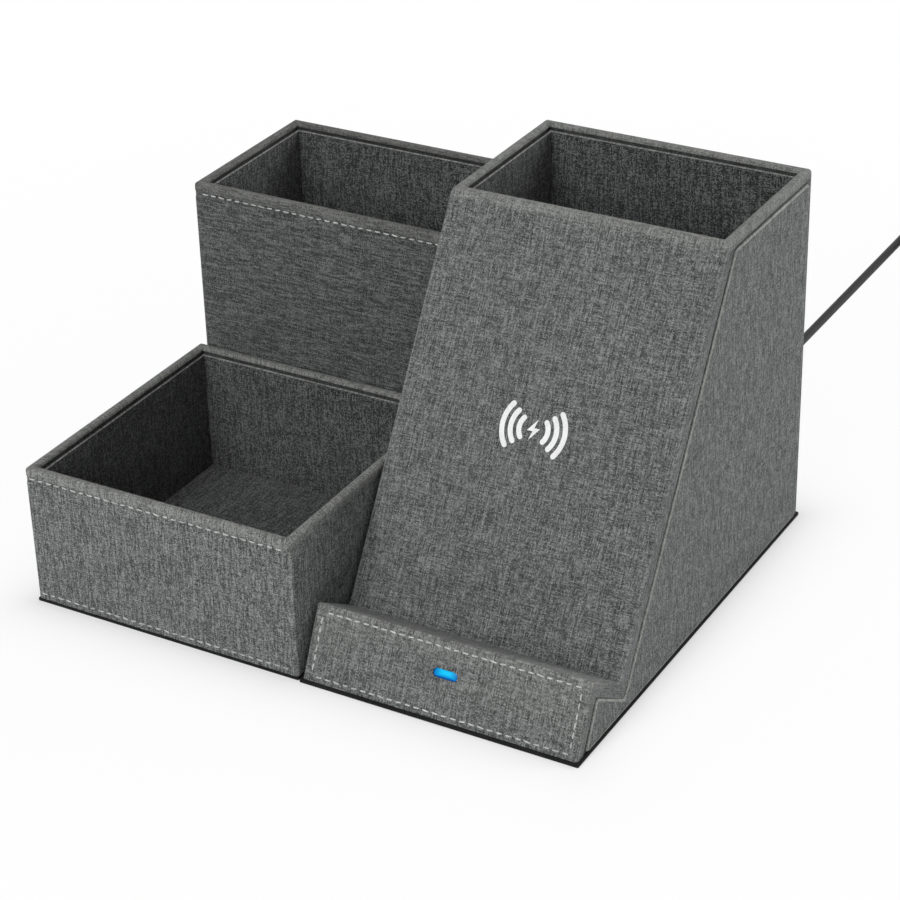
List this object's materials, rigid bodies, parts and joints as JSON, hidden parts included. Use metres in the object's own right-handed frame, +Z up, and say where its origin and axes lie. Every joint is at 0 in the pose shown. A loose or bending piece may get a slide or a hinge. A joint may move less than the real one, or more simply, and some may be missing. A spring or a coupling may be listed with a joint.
{
  "type": "charging station organizer",
  "caption": "Fabric-covered desk organizer: a leaning phone stand with a wireless charger and a pen cup behind it, beside a low open box and a tall open box.",
  "frame": {"origin": "middle of the footprint on the table, measured without the power cord", "axes": "+X to the right across the front, from the two boxes to the phone stand, +Y from the front to the back, +Z up"},
  "size_m": [0.2498, 0.409, 0.119],
  "materials": {
    "board": "sanded fibreboard",
    "cover_fabric": "woven linen look, heather grey",
    "panel_fabric": "woven linen look, heather grey",
    "liner_fabric": "woven linen look, darker heather grey",
    "base_sheet": "matt black non-slip sheet",
    "tray_plastic": "moulded",
    "ferrite": "matt dark grey",
    "coil_wire": "enamelled copper wire",
    "circuit_board": "green solder mask",
    "component": "moulded black",
    "screw_steel": "zinc plated",
    "magnet": "nickel plated",
    "light_guide": "clear blue, lit from behind",
    "lead_red": "thin insulated wire",
    "lead_black": "insulated wire",
    "cord_black": "matt black cord jacket",
    "plug_plastic": "moulded black grip",
    "plug_metal": "plated plug shell"
  },
  "bodies": {
    "stand": {"stand_left_board": "board", "stand_right_board": "board", "stand_back_board": "board", "slope_board": "board", "ledge_board": "board", "lip_board": "board", "stand_base_board": "board", "cup_front_board": "board", "cup_floor_board": "board", "cup_front_liner": "liner_fabric", "cup_back_liner": "liner_fabric", "cup_left_liner": "liner_fabric", "cup_right_liner": "liner_fabric", "cup_floor_liner": "liner_fabric", "stand_cover": "cover_fabric", "left_side_panel": "panel_fabric", "right_side_panel": "panel_fabric", "stand_base_sheet": "base_sheet", "coil_tray": "tray_plastic", "ferrite_sheet": "ferrite", "charging_coil": "coil_wire", "circuit_board": "circuit_board", "board_components": "component", "charger_screws": "screw_steel", "indicator_board": "circuit_board", "light_guide": "light_guide", "indicator_lead": "lead_red", "inner_lead": "lead_black", "keeper_plates": "screw_steel", "strain_relief": "cord_black", "cord": "cord_black", "cord_coil": "cord_black", "plug_grip": "plug_plastic", "plug_shell": "plug_metal"},
    "low_box": {"low_front_board": "board", "low_back_board": "board", "low_left_board": "board", "low_right_board": "board", "low_floor_board": "board", "low_front_liner": "liner_fabric", "low_back_liner": "liner_fabric", "low_left_liner": "liner_fabric", "low_right_liner": "liner_fabric", "low_floor_liner": "liner_fabric", "low_cover": "cover_fabric", "low_base_sheet": "base_sheet", "low_magnets": "magnet"},
    "tall_box": {"tall_front_board": "board", "tall_back_board": "board", "tall_left_board": "board", "tall_right_board": "board", "tall_floor_board": "board", "tall_front_liner": "liner_fabric", "tall_back_liner": "liner_fabric", "tall_left_liner": "liner_fabric", "tall_right_liner": "liner_fabric", "tall_floor_liner": "liner_fabric", "tall_cover": "cover_fabric", "tall_base_sheet": "base_sheet", "tall_magnets": "magnet"}
  },
  "joints": [
    {"name": "low_box_pull", "type": "slide", "parent": "stand", "child": "low_box", "axis": [-1, 0, 0], "range_m": [0, 0.08]},
    {"name": "tall_box_pull", "type": "slide", "parent": "stand", "child": "tall_box", "axis": [-1, 0, 0], "range_m": [0, 0.08]}
  ]
}
